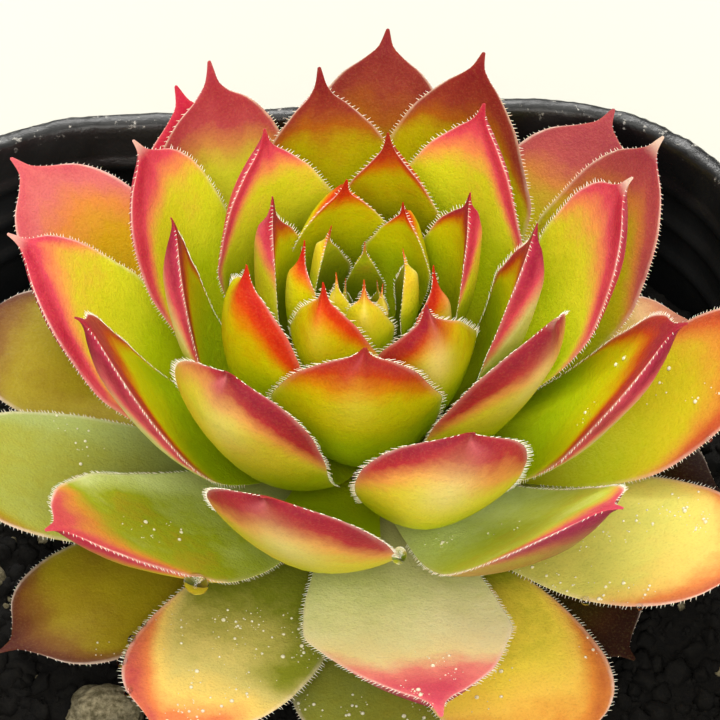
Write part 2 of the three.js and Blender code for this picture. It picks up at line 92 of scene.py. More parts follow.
# How each leaf strays from its age: degrees turned, mm out and mm up.
STRAYS = {
    4: (0, 0.8, 0.8), 5: (0, -0.3, -0.3), 6: (0, -0.4, 0.1), 7: (-13, -0.4, -0.6), 8: (-2, 0.8, -0.6),
    9: (0, -0.4, 0.9), 10: (0, 0, -1.1), 11: (-6, -1.0, 0.4), 12: (-4.5, 0.4, 0.9), 13: (-3.5, 1.2, 0.2),
    14: (-1.5, -1.1, 0.5), 15: (-3, 0.4, -1.1), 16: (0.5, -0.5, -0.3), 17: (-1.2, 0, 0.6), 18: (0, 1.5, 0),
    19: (-1, -0.7, 0), 20: (1, 0.4, -0.2), 21: (5, 0, 0.8), 22: (-1.5, -1.5, 0.4), 23: (1.5, 0.8, 0),
    24: (2.8, -0.3, -0.2), 25: (1, -0.5, 0.1), 26: (0, 1.2, 0), 27: (0, -0.4, -0.2), 28: (1.5, 0.6, -0.2),
    29: (-1.2, 0.3, 0), 30: (-2, 0, 0), 31: (-1, 1.5, -0.5), 32: (1.5, -0.3, -0.2), 33: (-3, 0, 0),
    34: (-3.5, 0, 0), 35: (0, -0.9, 0), 36: (-1, -0.2, 0.8), 38: (0, -0.3, 0), 39: (0, 0, -1),
    40: (6, 1.3, 0), 41: (2, 1.5, -1.1), 42: (0, 0.7, 0.6), 43: (3, 0, -0.5), 49: (-1, 0, -0.5),
    51: (5.5, 0, -0.5), 53: (-1.5, -7.5, 22.6), 54: (8, 0, 0), 57: (-1.7, 0, -0.2),
}
# What else is a leaf's own: lean in degrees, or apart at its knee, blade and tip; width, thickness,
# cup and length as shares; roll in degrees; sway of the blade to its left in mm; bluntness and where
# its needle starts.
HABITS = {
    6: dict(wide=1.1), 8: dict(wide=1.2, blunt=0.2, sway=0.4), 9: dict(wide=1.1),
    11: dict(wide=1.32, blunt=0.35, sway=0.4), 12: dict(blunt=0.25),
    13: dict(lean=-14, wide=0.9, blunt=0.3, sway=0.6), 14: dict(lean=-9, wide=0.9),
    15: dict(blunt=0.15, wide=1.18, sway=0.7), 17: dict(lean=7, blunt=0.35, sway=-0.4),
    18: dict(lean=-5, wide=0.76), 19: dict(sway=0.2, wide=1.08, blunt=0.3),
    20: dict(sway=-0.8, blunt=0.38, wide=1.06), 21: dict(sway=0.6),
    22: dict(lean=6, wide=0.78, thick=0.85, cup=0.5), 23: dict(lean=-6, blunt=0.45, roll=-6, wide=1.03),
    24: dict(blunt=0.3, needle=0.895), 25: dict(blunt=0.8, lean=5, sway=-1.3, roll=-2),
    26: dict(wide=0.92, blunt=0.6, lean=-3, sway=0.7), 27: dict(lean=-1, wide=0.86, blunt=0.7, sway=-1.1),
    28: dict(blunt=1.0, roll=-13, wide=0.9, lean=6, sway=-1.1), 29: dict(blunt=0.35, sway=1.0),
    30: dict(thick=0.9, cup=0.6), 31: dict(lean=-6), 32: dict(wide=1.04, sway=1.7, blunt=0.6, needle=0.9),
    33: dict(blunt=1.0, lean=8, roll=-2, sway=1.4), 34: dict(lean=1, wide=0.95, sway=0.9),
    35: dict(blunt=0.5, lean=-3, sway=-0.7), 36: dict(lean=1, sway=-1.8), 37: dict(sway=0.6, wide=0.95),
    38: dict(blunt=0.4, sway=-0.8, wide=1.08), 40: dict(blunt=0.8, sway=-1.0),
    41: dict(blunt=0.3, needle=0.9, roll=-4, wide=1.1), 42: dict(blunt=0.9), 46: dict(wide=0.94,
             sway=0.5),
    51: dict(wide=0.88), 53: dict(knee=20, blade=50, tip=50, long=1.2),
}

# ---- colours ---------------------------------------------------------

# The five colours of each complexion, from the leaf's foot to its point.
STAGES = ("foot", "middle", "ripe", "blush", "point")
COMPLEXIONS = {
    "fresh": "acc402 cbc802 cc8a04 b83a14 981a34",
    "lime": "b8d00c ecdc2c fcb044 ee6a2a d0341c",
    "rosy": "b6c804 e0de2a f69c58 e24c62 bc2444",
    "blonde": "aebe0a dad836 cf8a4e b44450 a22c3e",
    "olive": "a0ac02 b8ac00 be6604 b03416 981c18",
    "dusky": "aeb600 c0b402 b06018 94342c 7e1624",
    "salmon": "a4a808 b8a810 c87c3c ae4a4c 983444",
    "peach": "a89c04 cea00e de8a40 d66c6c c84e5e",
    "moss": "ccd888 a4b020 d89038 cc5050 b83048",
    "loden": "a0ac60 9ca040 9c8c18 9c7420 905c38",
    "sage": "d4d890 f8f0c0 fce4ac f08480 d84a66",
    "gold": "868e28 d4c474 f4d070 e8844e c04850",
    "honey": "98a414 f8e050 fcd058 e4903c ac442c",
    "amber": "b0b610 c8b81c d08e30 c0562c 983028",
    "brown": "8e8606 a08e18 845e1c 6a3a1c 501e1c",
    "tan": "8c8820 c09e4e dcb07a c88660 a86458",
    # Painted shade: the colours of leaves that lie in deep shade by the mix.
    "deep_shade": "322c06 32270c 3a2610 3a1c14 2c1214",
    "fern": "dce89c c4d048 dca044 d85860 c03454",
    "lemon": "b4bc58 dcd468 e8c464 d47c40 a44034",
    "blossom": "bccc50 ece4a0 f4a884 e24c68 a01c40",
    "flame": "acc402 d0cc02 d68a00 d23e0c be1a14",
    "mauve": "a8ac38 b8a048 bc6c50 a43c50 96284a",
    "leek": "7c9a04 a4b010 d89a2c dc5c22 c02c1a",
    "cream": "c8d60c e4dc38 e8a450 b02c38 8c1c34",
}
# Tints laid over them: the keel's glow, painted pink sheen, the margin, the dry point, specks, painted
# shade.
CREAM, PINK, PEARL, STRAW = (0.86, 0.78, 0.30), (0.95, 0.24, 0.28), (0.98, 0.80, 0.68), (0.78, 0.62, 0.48)
LIGHT_SPECK, DARK_SPECK, SHADOW = (0.95, 0.80, 0.20), (0.16, 0.09, 0.02), (0.45, 0.42, 0.30)
# Ages at which the heart, the closed leaves and the oldest leaves part, and the shares of a leaf's
# length at which the green of its foot gives way.
HEART_BEFORE, CLOSED_BEFORE, OLDEST_FROM = 8, 20, 41
WAKE, WAKE_OF_OLDEST = 0.5, 0.35


def linear(code):
    """The linear light of a colour written with six digits."""
    srgb = np.array([int(code[i:i + 2], 16) / 255 for i in (0, 2, 4)])
    return np.where(srgb <= 0.04045, srgb / 12.92, ((srgb + 0.055) / 1.055) ** 2.4)


# Each leaf's finish:
#   inner, outer  complexion of the face towards the bud and of the face away from it
#   front, soft   where the blush starts on the middle line, and how gently
#   slant         how far the front of the blush tilts across the leaf
#   run, bias     how far it runs down the margins, and on which of them more
#   wake, lush    where the foot's green gives way, and how much later towards one margin
#   pale, sheen   pale glow on the keel; strength and, by its sign, side of the painted pink sheen
#   dry           how dry the end of the needle is
#   dusk, shade   painted shade on the whole leaf, and how much further than usual its foot's painted shade reaches
PLAIN_FINISH = dict(inner="fresh", outer="fresh", front=0.83, soft=1.0, slant=0.0, run=0.08, bias=0.0,
                    pale=0.1, sheen=0.0, dry=0.0, dusk=0.0, wake=None, lush=0.0, shade=0.0)
YOUNGEST = dict(inner="leek", outer="lime", front=0.95, pale=0.5, dusk=-0.2)
YOUNGER = dict(inner="leek", outer="lime", front=0.92, pale=0.4, dusk=-0.15)


def both(complexion, **look):
    """A finish with one complexion on both faces."""
    return dict(inner=complexion, outer=complexion, **look)


SHADED = both("deep_shade")
FINISHES = dict.fromkeys(range(6), YOUNGEST) | dict.fromkeys((45, 50, 52, 55, 56, 57), SHADED) | {
    6: YOUNGER, 7: YOUNGER, 8: both("flame", front=0.86, run=0.06, dusk=-0.15),
    9: both("flame", front=0.84, run=0.1, dusk=-0.15),
    10: both("flame", front=0.84, soft=1.3, slant=-0.04, run=0.2, bias=-0.6, pale=0.5),
    11: both("flame", front=0.87, run=0.05),
    12: both("flame", front=0.88, soft=1.4, slant=0.05, run=0.14, bias=0.9),
    13: dict(outer="rosy", front=0.84, run=0.24, bias=-0.3, sheen=0.5),
    14: dict(outer="rosy", front=0.8, sheen=0.4, pale=0.3),
    15: dict(front=0.86, soft=1.4, slant=-0.05, run=0.2, bias=-0.6, sheen=0.6, pale=0.7, dusk=-0.2),
    16: dict(inner="olive", front=0.86, run=0.12),
    17: both("flame", front=0.89, soft=1.3, slant=0.1, run=0.17, bias=0.9, pale=0.0),
    18: dict(outer="blossom", front=0.8, soft=1.4, run=0.36, pale=0.3),
    19: both("rosy", front=0.87, soft=1.3, slant=0.05, run=0.24, bias=0.6),
    20: dict(front=0.86, soft=1.5, slant=0.03, run=0.15, sheen=-0.2, dusk=-0.3),
    21: both("rosy", front=0.85, soft=1.5, slant=-0.04, run=0.28, bias=-0.5),
    22: dict(outer="blossom", front=0.8, soft=1.3, run=0.34, pale=0.4),
    23: dict(outer="cream", front=0.85, soft=1.6, slant=-0.08, run=0.2, bias=-0.6, pale=0.8, dry=0.3),
    24: dict(inner="dusky", outer="rosy", front=0.85, soft=1.3, dusk=0.05),
    25: dict(outer="cream", front=0.88, soft=1.4, slant=0.08, run=0.17, bias=0.5, pale=0.45,
             sheen=-1.0, dusk=-0.45),
    26: both("rosy", front=0.85, soft=1.7, slant=-0.05, run=0.3, bias=-0.5, dry=0.8),
    27: both("rosy", front=0.86, soft=1.3, slant=0.06, run=0.28, bias=0.7, dry=0.6),
    28: dict(outer="cream", front=0.87, soft=1.6, slant=0.02, run=0.16, bias=-0.2, pale=0.7,
             sheen=0.5, dusk=-0.45),
    29: dict(inner="dusky", outer="rosy", front=0.84, soft=1.3, run=0.2, bias=-0.5, dusk=0.05),
    30: dict(outer="blossom", front=0.8, soft=1.3, run=0.4, pale=0.4),
    31: dict(outer="blossom", front=0.82, soft=1.3, run=0.4, pale=0.3),
    32: dict(inner="blonde", outer="rosy", front=0.82, soft=1.5, run=0.1, dusk=0.05),
    33: dict(outer="cream", front=0.87, soft=1.7, slant=0.02, run=0.15, pale=0.7, sheen=-0.6, dusk=-0.35),
    34: dict(inner="salmon", outer="rosy", front=0.84, soft=1.6, run=0.22, bias=-0.4, dry=0.8),
    35: both("rosy", front=0.87, soft=1.3, slant=0.07, run=0.36, bias=0.6, dry=0.5),
    36: dict(inner="fern", outer="mauve", front=0.9, run=0.12, bias=-0.3, pale=0.2, wake=0.4, dusk=-0.3),
    37: dict(inner="dusky", outer="rosy", front=0.84, soft=1.6, run=0.1),
    38: dict(inner="moss", outer="rosy", front=0.88, soft=1.4, slant=-0.03, run=0.15, bias=0.4,
             wake=0.3, lush=-0.6),
    39: both("amber", front=0.84, soft=1.6, run=0.3),
    40: both("peach", front=0.86, soft=1.7, run=0.16, bias=0.3),
    41: both("sage", front=0.74, soft=1.8, run=0.04, wake=0.38),
    42: both("salmon", front=0.84, soft=1.5, run=0.12),
    43: both("loden", front=0.97, run=0.14, bias=0.6, wake=0.4, lush=-0.6, shade=0.2),
    44: both("lemon", front=0.9, soft=1.7, run=0.2, shade=0.15),
    # Leaf 46's dark olive foot, lasting later up one margin, is partly its own green and partly painted
    # shade from the leaves above.
    46: both("gold", front=0.88, soft=1.5, run=0.24, bias=-0.6, wake=0.54, lush=0.55, shade=0.22),
    47: dict(inner="tan", outer="brown", front=0.9), 48: both("brown", front=0.9),
    49: both("honey", front=0.87, soft=1.8, run=0.26, bias=0.5, shade=0.15),
    51: both("brown", front=0.9, run=0.1, dusk=0.12, shade=0.25), 53: both("rosy", front=0.7),
    54: both("loden", front=1.1, dusk=0.4),
}

# ---- the leaf's form -------------------------------------------------


def smooth_curve(xs, ys):
    """A curve through the points with no bump between them."""
    xs, ys = np.array(xs, float), np.array(ys, float)
    slope = np.diff(ys) / np.diff(xs)
    tangent = np.concatenate([slope[:1], slope[:-1], slope[-1:]])
    before, after = slope[:-1], slope[1:]
    turning = before * after <= 0
    total = np.where(turning, 1.0, before + after)
    tangent[1:-1] = np.where(turning, 0.0, 2 * before * after / np.where(total == 0, 1.0, total))

    def at(x):
        x = np.clip(x, xs[0], xs[-1])
        i = np.clip(np.searchsorted(xs, x) - 1, 0, len(xs) - 2)
        span = xs[i + 1] - xs[i]
        s = (x - xs[i]) / span
        return (ys[i] * (1 + 2 * s) * (1 - s) ** 2 + tangent[i] * span * s * (1 - s) ** 2
                + ys[i + 1] * s * s * (3 - 2 * s) + tangent[i + 1] * span * s * s * (s - 1))

    return at


GROWTH = {key: smooth_curve(AGE, values) for key, values in BY_AGE.items()}
POINTED = smooth_curve(OUTLINE_AT, OUTLINE_POINTED)
BLUNT = smooth_curve(OUTLINE_AT, OUTLINE_BLUNT)


def step(low, high, x):
    s = np.clip((x - low) / (high - low), 0, 1)
    return s * s * (3 - 2 * s)


def rounded_square(half, corner, z, flat_steps=6, arc_steps=16):
    ring = []
    flat = half - corner
    for side in range(4):
        turn = side * math.pi / 2
        points = [(half, flat * (2 * i / flat_steps - 1)) for i in range(flat_steps)]
        for i in range(arc_steps):
            angle = i / arc_steps * math.pi / 2
            points.append((flat + corner * math.cos(angle), flat + corner * math.sin(angle)))
        for x, y in points:
            ring.append((x * math.cos(turn) - y * math.sin(turn),
                         x * math.sin(turn) + y * math.cos(turn), z))
    return np.array(ring)


def pot_ring(z, inset=0.0, fine=1):
    share = z / POT["height"]
    half = POT["base_half"] + (POT["rim_half"] - POT["band_out"] - POT["base_half"]) * share - inset
    corner = POT["base_corner"] + (POT["rim_corner"] - POT["base_corner"]) * share - inset
    return rounded_square(half, corner, z, 6 * fine, 16 * fine)


def wall_distance(azimuth, height):
    """From the rosette's axis to the inside of the pot's wall."""
    ring = pot_ring(height, POT["wall"])[:, :2]
    along = np.roll(ring, -1, axis=0) - ring
    start = ring - ROSETTE[:2]
    ray = np.array([math.cos(azimuth), math.sin(azimuth)])
    across = ray[0] * along[:, 1] - ray[1] * along[:, 0]
    distance = (start[:, 0] * along[:, 1] - start[:, 1] * along[:, 0]) / across
    share = (start[:, 0] * ray[1] - start[:, 1] * ray[0]) / across
    return distance[(distance > 0) & (share >= 0) & (share <= 1)].min()


def leaf_plan(n):
    """All measures of leaf n, counted from the youngest."""
    plan = {key: float(curve(n)) for key, curve in GROWTH.items()}
    turn, out, up = STRAYS.get(n, (0, 0, 0))
    habit = HABITS.get(n, {})
    plan["azimuth"] = math.radians(FIRST_LEAF + GOLDEN_ANGLE * n + turn)
    plan["reach"] += out
    plan["rise"] += up
    # The oldest leaves lie on the mix and don't nod.
    nod = NOD * min(max((50 - n) / 14, 0), 1) * math.sin(plan["azimuth"] + math.radians(NOD_TURN))
    lean = habit.get("lean", 0) + nod
    plan["knee_lean"] += habit.get("knee", lean)
    plan["blade_lean"] += habit.get("blade", lean)
    plan["tip_lean"] += habit.get("tip", lean)
    plan["width"] *= habit.get("wide", 1)
    plan["thick"] *= habit.get("thick", 1)
    plan["cup"] *= habit.get("cup", 1)
    plan["length"] *= habit.get("long", 1)
    plan["blunt"] = habit.get("blunt", plan["blunt"])
    plan["needle"] = habit.get("needle", plan["needle"])
    plan["roll"] = math.radians(habit.get("roll", 0))
    plan["sway"] = habit.get("sway", 0)
    height = ROSETTE[2] + plan["rise"]
    if height < POT["height"]:
        room = wall_distance(plan["azimuth"], height) - WALL_CLEARANCE
        if room < plan["reach"]:
            plan["length"] *= room / plan["reach"]
            plan["reach"] = room
    plan["seed"] = n
    return plan


def midrib(plan, steps=120):
    """The leaf's middle line in its own upright plane: reach, rise and direction at a share."""
    leans = [plan[part + "_lean"] for part in ("root", "knee", "blade", "blade", "tip")]
    lean = np.radians(smooth_curve([0, 0.42, 0.7, 0.91, 1], leans)((np.arange(steps) + 0.5) / steps))
    reach = plan["reach"] - np.append(np.cumsum(np.cos(lean)[::-1])[::-1], 0) * plan["length"] / steps
    rise = plan["rise"] - np.append(np.cumsum(np.sin(lean)[::-1])[::-1], 0) * plan["length"] / steps
    at = np.arange(steps + 1) / steps
    # The foot is pulled to its place on the stem.
    pull = (1 - at) ** 2.6
    reach = reach + (plan["root_reach"] - reach[0]) * pull
    rise = rise + (plan["root_rise"] - rise[0]) * pull
    out, up = np.gradient(reach), np.gradient(rise)
    size = np.hypot(out, up)

    def along(t):
        return [np.interp(t, at, values) for values in (reach, rise, out / size, up / size)]

    return along


def outline_share(plan, t):
    needle = plan["needle"]
    t = np.where(t < needle, t * NEEDLE / needle, 1 - (1 - t) * (1 - NEEDLE) / (1 - needle))
    return POINTED(t) + (BLUNT(t) - POINTED(t)) * plan["blunt"]


def on_leaf(plan, t, u, face, lift=0.0):
    """Points of a leaf in mm: t from root to tip, u across from -1 to 1, and face, which is
    1 on the inner face, -1 on the outer one and 0 on the margin."""
    reach, rise, out, up = midrib(plan)(t)
    seed = plan["seed"]
    half = np.maximum(outline_share(plan, t) * plan["width"] / 2, NARROWEST)
    near = np.clip((t - 0.72) / 0.28, 0, 1)
    thick = plan["thick"] * (0.86 + 0.14 * np.sin(np.pi * t)) * (1 - near ** 1.5)
    thick = np.minimum(np.maximum(thick, THINNEST), half * 1.5)
    cup = plan["cup"] * np.sin(np.pi / 2 * np.minimum(t / 0.5, 1)) * (1 - 0.35 * near)
    wide = np.abs(u)
    hollow = cup * half * wide ** 2
    keel = 1.8 - 0.55 * near
    upper = hollow + thick * ABOVE_MARGIN * (1 - wide ** 2.4) ** 0.8 + lift
    under = hollow - thick * (1 - ABOVE_MARGIN) * (1 - wide ** keel) ** 0.85 - lift
    height = np.where(face > 0, upper, np.where(face < 0, under, hollow))
    side = u * (half + np.where(face == 0, lift, 0))
    # The slight waves of a grown leaf, the same on both faces.
    wave = np.sin(5.1 * t + 2.3 * seed) * 0.5
    wave = wave + np.sin(11.3 * t * (1 + 0.2 * np.sign(u)) + 1.7 * seed) * 0.3
    height = height + wave * 0.012 * plan["width"] * wide ** 2 * np.sin(np.pi * t)
    side = side + 0.010 * plan["width"] * np.sin(7.3 * t + 3.1 * seed) * np.sin(np.pi * t)
    turned = side * math.cos(plan["roll"]) - height * math.sin(plan["roll"])
    height = side * math.sin(plan["roll"]) + height * math.cos(plan["roll"])
    turned = turned + plan["sway"] * np.sin(np.pi * t ** 1.2)
    radial = reach - up * height
    z = rise + out * height
    cos, sin = math.cos(plan["azimuth"]), math.sin(plan["azimuth"])
    return np.stack([radial * cos - turned * sin, radial * sin + turned * cos, z], -1) + ROSETTE


def leaf_grid(stations, spans):
    """The shares along and across and the face of each point of a leaf's mesh."""
    t = 1 - (1 - np.linspace(0, 1, stations)) ** 1.35
    inner = np.sin(np.linspace(-1, 1, 2 * spans + 1) * np.pi / 2)[1:-1]
    u = np.concatenate([[-1], inner, [1], inner[::-1]])
    face = np.concatenate([[0], -np.ones(len(inner)), [0], np.ones(len(inner))])
    return t, u, face


def tube_faces(rows, around):
    """Faces over rows of points, and the fans to the two points after them that close its ends."""
    at = np.arange(rows * around).reshape(rows, around)
    beside = np.roll(at, -1, axis=1)
    sides = np.stack([at[:-1], beside[:-1], beside[1:], at[1:]], -1).reshape(-1, 4).tolist()
    first = [[int(b), int(a), at.size] for a, b in zip(at[0], beside[0])]
    last = [[int(a), int(b), at.size + 1] for a, b in zip(at[-1], beside[-1])]
    return sides, first, last


def leaf_body(n, stations=60, spans=9):
    """Points, faces and finish of one leaf, its ends closed."""
    plan = leaf_plan(n)
    t, u, face = leaf_grid(stations, spans)
    grid_t, grid_u = np.meshgrid(t, u, indexing="ij")
    grid_face = np.broadcast_to(face, grid_t.shape)
    points = on_leaf(plan, grid_t, grid_u, grid_face)
    root, last = points[0].mean(0), points[-1].mean(0)
    tip = last + (last - points[-2].mean(0)) * 0.6
    shares = [np.append(values.reshape(-1), [values[0].mean(), values[-1].mean()])
              for values in (grid_t, grid_u, grid_face)]
    return (np.concatenate([points.reshape(-1, 3), [root, tip]]), sum(tube_faces(stations, len(u)), []),
            leaf_finish(n, *shares))


def leaf_finish(n, t, u, face):
    """The attributes that the leaf material reads, at shares t along and u across."""
    look = {**PLAIN_FINISH, **FINISHES.get(n, {})}
    wide, soft = np.abs(u), look["soft"]
    inner = step(-0.6, 0.6, face)
    outer = 1 - inner
    codes = (COMPLEXIONS[look[key]].split() for key in ("inner", "outer"))
    colours = {name: linear(inside) * inner[:, None] + linear(outside) * outer[:, None]
               for name, inside, outside in zip(STAGES, *codes)}
    wander = 0.012 * np.sin(4.0 * u + n) + 0.008 * np.sin(9.0 * u + 2.0 * n)
    margin_run = look["run"] * wide ** 4.0 * (1 + look["bias"] * np.sign(u))
    front = look["front"] - look["slant"] * u - margin_run + wander
    wake = look["wake"] or (WAKE if n < OLDEST_FROM else WAKE_OF_OLDEST)
    late = abs(look["lush"]) * np.clip(np.sign(look["lush"]) * u, 0, 1) ** 3
    # From 0 at the foot to 4 at the point, one step for each change of colour.
    stage = (step(wake - 0.18, wake + 0.18, t - late) + step(front - 0.13 * soft, front - 0.03 * soft, t)
             + step(front - 0.07 * soft, front + 0.02 * soft, t)
             + step(front - 0.02, front + 0.08 * soft, t) * (1 - 0.5 * wide ** 3))
    keel = np.exp(-(u / 0.34) ** 2)
    pale = look["pale"] * keel * np.exp(-((t - front + 0.16) / 0.13) ** 2) * outer
    # Painted pink sheen on one side of the point of the outer face.
    painted_sheen = abs(look["sheen"]) * np.exp(-((u - np.sign(look["sheen"]) * 0.3) / 0.2) ** 2)
    painted_sheen = painted_sheen * step(front - 0.08, front + 0.12, t) * outer * (1 - step(0.93, 1.0, t))
    rim = step(0.93, 0.995, wide) * step(0.25, 0.6, t) * (1 - step(0.88, 0.95, t))
    rim = rim * (0.6 + 0.4 * step(0.7, 0.84, t)) * (1 - 0.65 * outer)
    dry = look["dry"] * step(0.93, 0.985, t)
    # Painted shade at each leaf's foot, deepest in the heart.
    depth = 0.95 if n < HEART_BEFORE else 0.75
    if n < CLOSED_BEFORE:
        # The inner faces round the bud see little light and are painted in shade.
        hidden = (0.45, 0.85) if n < HEART_BEFORE else (0.25, 0.7)
        lit = step(*hidden, t) * inner + step(0.1, 0.3, t) * outer
    else:
        lit = step(0.1 * inner, 0.22 + (0.18 + look["shade"]) * inner, t)
    dusk = look["dusk"] + depth * (1 - lit)
    return {**colours, "stage": stage, "pale": pale, "painted_sheen": painted_sheen, "rim": rim, "dry": dry,
            "dusk": np.clip(dusk, 0, 1)}


# ---- making meshes ---------------------------------------------------


def show(name, mesh):
    piece = bpy.data.objects.new(name, mesh)
    bpy.context.scene.collection.objects.link(piece)
    return piece


def new_mesh(name, points, faces, attributes=None, finish=None):
    """A smooth mesh from points in mm."""
    mesh = bpy.data.meshes.new(name)
    mesh.from_pydata((np.asarray(points) * MM).tolist(), [], faces)
    for key, values in (attributes or {}).items():
        if values.ndim == 2:
            layer = mesh.attributes.new(key, "FLOAT_COLOR", "POINT")
            layer.data.foreach_set("color", np.column_stack([values, np.ones(len(values))]).ravel())
        else:
            mesh.attributes.new(key, "FLOAT", "POINT").data.foreach_set("value", values)
    if finish:
        mesh.materials.append(finish)
    mesh.polygons.foreach_set("use_smooth", [True] * len(mesh.polygons))
    mesh.update()
    return mesh


def settle(piece):
    """The piece's modifiers made part of its mesh."""
    made = bpy.data.meshes.new_from_object(piece.evaluated_get(bpy.context.evaluated_depsgraph_get()))
    piece.modifiers.clear()
    piece.data = made
    return piece


def seeded(name, seeds):
    """A piece of loose points from (places, headings, sizes), for what grows on them."""
    places, headings, sizes = (np.concatenate(part) for part in zip(*seeds))
    mesh = bpy.data.meshes.new(name)
    mesh.from_pydata((places * MM).tolist(), [], [])
    mesh.attributes.new("heading", "FLOAT_VECTOR", "POINT").data.foreach_set("vector", headings.ravel())
    mesh.attributes.new("size", "FLOAT", "POINT").data.foreach_set("value", sizes * MM)
    return show(name, mesh)


# ---- geometry node trees ---------------------------------------------


def join(tree, target, source):
    """The source into a node's input, as a link from a socket or as a value."""
    if isinstance(source, bpy.types.NodeSocket):
        tree.links.new(source, target)
    else:
        target.default_value = source


def add_node(tree, kind, links, settings):
    node = tree.nodes.new(kind)
    for key, value in settings.items():
        setattr(node, key, value)
    for socket, source in (links or {}).items():
        join(tree, node.inputs[socket], source)
    return node


class Tree:
    """A geometry node tree under construction, with named inputs."""

    def __init__(self, name, **inputs):
        self.tree = bpy.data.node_groups.new(name, "GeometryNodeTree")
        sockets = self.tree.interface
        sockets.new_socket(name="Geometry", in_out="INPUT", socket_type="NodeSocketGeometry")
        kinds = {float: "NodeSocketFloat", int: "NodeSocketInt", "finish": "NodeSocketMaterial"}
        for title, kind in inputs.items():
            sockets.new_socket(name=title, in_out="INPUT", socket_type=kinds[kind])
        sockets.new_socket(name="Geometry", in_out="OUTPUT", socket_type="NodeSocketGeometry")
        self.given = self.tree.nodes.new("NodeGroupInput").outputs
        self.end = self.tree.nodes.new("NodeGroupOutput")

    def add(self, kind, links=None, **settings):
        return add_node(self.tree, kind, links, settings)

    def finish(self, points, shape, turn, scale):
        """The shape on every point, as plain mesh with the tree's finish."""
        put = self.add("GeometryNodeInstanceOnPoints", {"Points": points, "Instance": shape,
                                                        "Rotation": turn, "Scale": scale})
        real = self.add("GeometryNodeRealizeInstances", {"Geometry": put.outputs[0]})
        smooth = self.add("GeometryNodeSetShadeSmooth", {"Geometry": real.outputs[0]})
        coat = self.add("GeometryNodeSetMaterial", {"Geometry": smooth.outputs[0],
                                                    "Material": self.given["Finish"]})
        self.tree.links.new(coat.outputs[0], self.end.inputs[0])
        return self.tree


def grow(piece, tree, **values):
    """Runs a tree on a piece with the inputs given by name, and keeps the result as a plain mesh."""
    modifier = piece.modifiers.new(tree.name, "NODES")
    modifier.node_group = tree
    for item in tree.interface.items_tree:
        if item.in_out == "INPUT" and item.name in values:
            modifier[item.identifier] = values[item.name]
    return settle(piece)


def on_seeds(t, shape, width, height):
    """The shape on every seed point, turned along its heading."""
    heading = t.add("GeometryNodeInputNamedAttribute", {"Name": "heading"}, data_type="FLOAT_VECTOR")
    turn = t.add("FunctionNodeAlignRotationToVector", {"Vector": heading.outputs[0]}, axis="Z")
    scale = t.add("ShaderNodeCombineXYZ", {"X": width, "Y": width, "Z": height})
    return t.finish(t.given["Geometry"], shape.outputs["Mesh"], turn.outputs[0], scale.outputs[0])


def hair_tree():
    """A slim cone on every seed point, as long as the point's size."""
    t = Tree("margin_hairs", Girth=float, Sides=int, Finish="finish")
    size = t.add("GeometryNodeInputNamedAttribute", {"Name": "size"}, data_type="FLOAT").outputs[0]
    cone = t.add("GeometryNodeMeshCone", {"Vertices": t.given["Sides"], "Radius Bottom": 1.0,
                                          "Radius Top": 0.3, "Depth": 1.0}, fill_type="NONE")
    return on_seeds(t, cone, t.given["Girth"], size)


def bead_tree():
    """A flattened water bead on every seed point."""
    t = Tree("water_beads", Height=float, Finish="finish")
    size = t.add("GeometryNodeInputNamedAttribute", {"Name": "size"}, data_type="FLOAT").outputs[0]
    ball = t.add("GeometryNodeMeshUVSphere", {"Segments": 12, "Rings": 7, "Radius": 1.0})
    tall = t.add("ShaderNodeMath", {0: size, 1: t.given["Height"]}, operation="MULTIPLY")
    return on_seeds(t, ball, size, tall.outputs[0])


def crumb_tree():
    """Lumpy crumbs of many sizes strewn on a surface."""
    t = Tree("strewn_crumbs", Crumbs=float, Smallest=float, Largest=float, Seed=int, Finish="finish")
    seed = t.given["Seed"]
    spots = t.add("GeometryNodeDistributePointsOnFaces",
                  {"Mesh": t.given["Geometry"], "Density": t.given["Crumbs"], "Seed": seed})
    lump = t.add("GeometryNodeMeshIcoSphere", {"Radius": 1.0, "Subdivisions": 2})
    where = t.add("GeometryNodeInputPosition")
    rough = t.add("ShaderNodeTexNoise", {"Vector": where.outputs[0], "Scale": 1.3, "Detail": 2.0},
                  noise_dimensions="3D")
    centred = t.add("ShaderNodeVectorMath", {0: rough.outputs["Color"], 1: (0.5, 0.5, 0.5)},
                    operation="SUBTRACT")
    push = t.add("ShaderNodeVectorMath", {0: centred.outputs[0], "Scale": 1.7}, operation="SCALE")
    lumpy = t.add("GeometryNodeSetPosition", {"Geometry": lump.outputs["Mesh"],
                                              "Offset": push.outputs[0]})
    spread = t.add("FunctionNodeRandomValue", {"Min": 0.0, "Max": 1.0, "Seed": seed}, data_type="FLOAT")
    skew = t.add("ShaderNodeMath", {0: spread.outputs[1], 1: 3.0}, operation="POWER")
    size = t.add("ShaderNodeMapRange", {"Value": skew.outputs[0], "To Min": t.given["Smallest"],
                                        "To Max": t.given["Largest"]})
    shape = t.add("FunctionNodeRandomValue", {0: (0.6, 0.6, 0.45), 1: (1.3, 1.0, 0.9), "Seed": seed},
                  data_type="FLOAT_VECTOR")
    scale = t.add("ShaderNodeVectorMath", {0: shape.outputs[0], "Scale": size.outputs[0]},
                  operation="SCALE")
    turn = t.add("FunctionNodeRandomValue", {0: (0, 0, 0), 1: (6.28, 6.28, 6.28), "Seed": seed},
                 data_type="FLOAT_VECTOR")
    return t.finish(spots.outputs["Points"], lumpy.outputs[0], turn.outputs[0], scale.outputs[0])


# ---- materials -------------------------------------------------------


